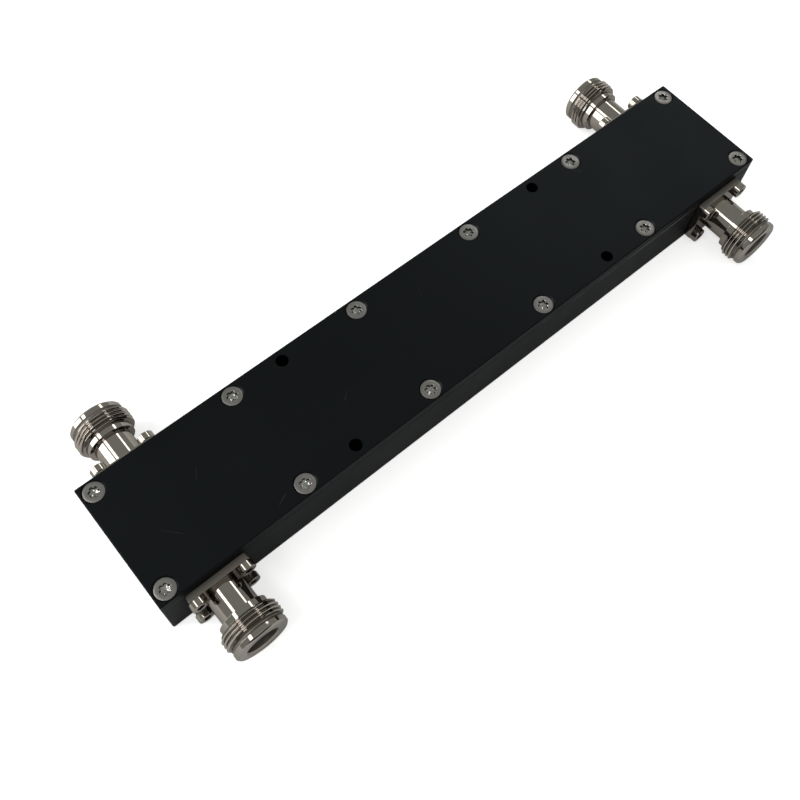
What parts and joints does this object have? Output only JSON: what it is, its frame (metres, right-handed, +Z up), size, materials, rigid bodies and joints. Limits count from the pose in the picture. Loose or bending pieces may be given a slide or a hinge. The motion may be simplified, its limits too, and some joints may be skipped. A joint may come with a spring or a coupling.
{
  "type": "hybrid coupler",
  "caption": "Long flat black housing with a screwed lid and threaded coaxial sockets on both long sides, joined inside by coupled line bars.",
  "frame": {"origin": "middle of the housing's underside", "axes": "+X along the housing, +Y across it from the front sockets to the back ones, +Z up through the lid"},
  "size_m": [0.207, 0.0728, 0.019],
  "materials": {
    "black_anodised_aluminium": "black anodised, satin",
    "stainless_screw_steel": "plain turned stainless steel",
    "nickel_plated_brass": "bright nickel plate",
    "ptfe": "white, waxy",
    "gold_plated_contact_brass": "gold plate",
    "silver_plated_brass": "silver plate"
  },
  "bodies": {
    "root": {"housing": "black_anodised_aluminium", "lid": "black_anodised_aluminium", "lid_screws": "stainless_screw_steel", "flange_screws": "stainless_screw_steel", "front_left_shell": "nickel_plated_brass", "front_left_insulator": "ptfe", "front_left_contact": "gold_plated_contact_brass", "front_right_shell": "nickel_plated_brass", "front_right_insulator": "ptfe", "front_right_contact": "gold_plated_contact_brass", "back_left_shell": "nickel_plated_brass", "back_left_insulator": "ptfe", "back_left_contact": "gold_plated_contact_brass", "back_right_shell": "nickel_plated_brass", "back_right_insulator": "ptfe", "back_right_contact": "gold_plated_contact_brass", "front_line_bar": "silver_plated_brass", "back_line_bar": "silver_plated_brass", "bar_support_1": "ptfe", "bar_support_2": "ptfe", "bar_support_3": "ptfe", "bar_support_4": "ptfe", "bar_support_5": "ptfe"}
  },
  "joints": []
}
